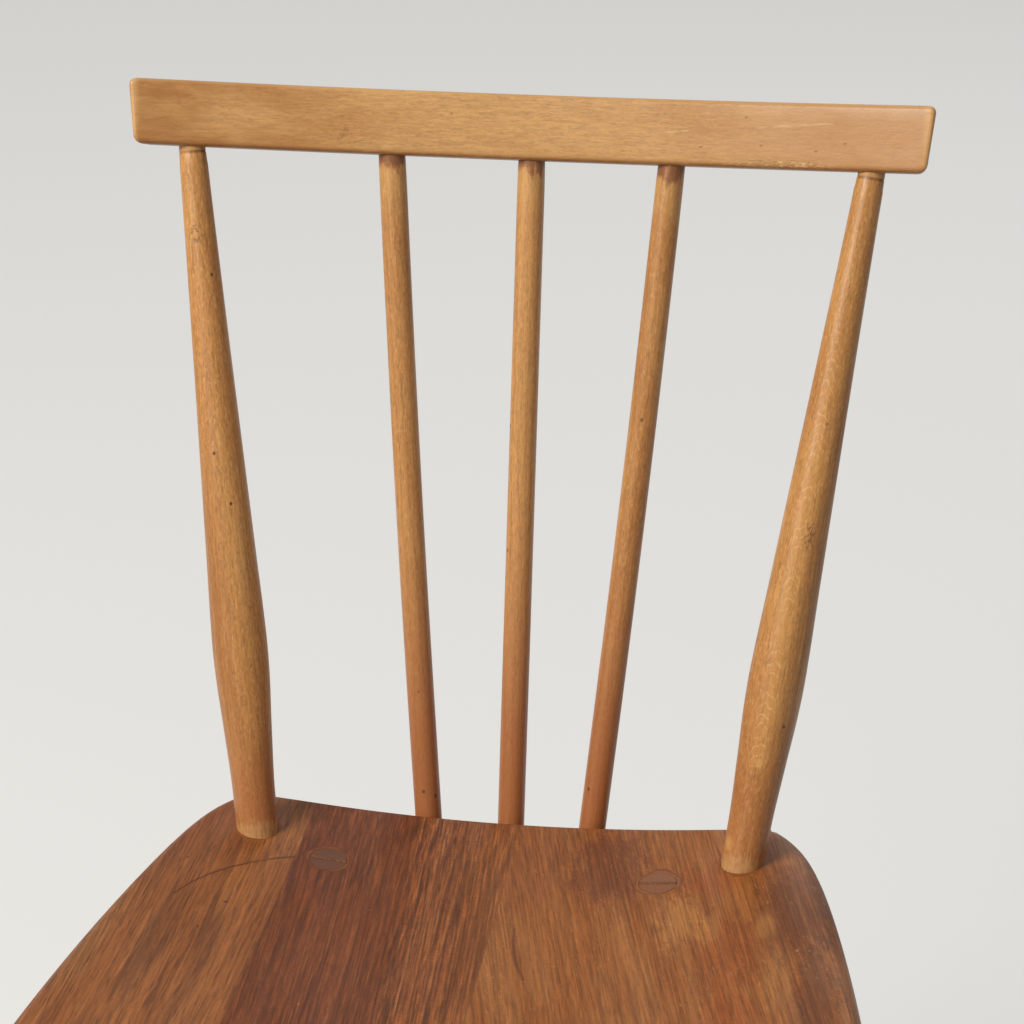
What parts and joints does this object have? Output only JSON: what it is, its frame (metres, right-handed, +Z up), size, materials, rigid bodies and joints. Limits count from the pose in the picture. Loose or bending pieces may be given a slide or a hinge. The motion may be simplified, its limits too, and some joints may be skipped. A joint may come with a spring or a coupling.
{
  "type": "spindle-back kitchen chair",
  "caption": "Wooden kitchen chair with a dished seat, turned splayed legs on an H stretcher, turned back posts, plain spindles and a bowed crest rail.",
  "frame": {"origin": "on the floor, under the middle of the chair's bounding box", "axes": "+Z up, +Y towards the chair's back, +X to the right of someone who faces its front"},
  "size_m": [0.4, 0.4714, 0.7805],
  "materials": {
    "rail_beech": "worn honey varnish on beech",
    "turned_beech": "worn amber varnish on turned beech",
    "spindle_beech": "darkened varnish on beech dowel",
    "seat_elm": "worn, stained oil and varnish on elm",
    "seat_elm_dark": "worn varnish on dark elm heartwood",
    "wedge_beech": "greyed end grain"
  },
  "bodies": {
    "root": {"crest_rail": "rail_beech", "back_post_left": "turned_beech", "back_post_right": "turned_beech", "spindle_left": "spindle_beech", "spindle_centre": "spindle_beech", "spindle_right": "spindle_beech", "seat_board_left": "seat_elm", "seat_board_mid_left": "seat_elm_dark", "seat_board_mid_right": "seat_elm", "seat_board_right": "seat_elm", "leg_front_left": "turned_beech", "leg_front_right": "turned_beech", "leg_back_left": "turned_beech", "leg_back_right": "turned_beech", "wedge_front_left": "wedge_beech", "wedge_front_right": "wedge_beech", "wedge_back_left": "wedge_beech", "wedge_back_right": "wedge_beech", "side_stretcher_left": "turned_beech", "side_stretcher_right": "turned_beech", "cross_stretcher": "turned_beech"}
  },
  "joints": []
}
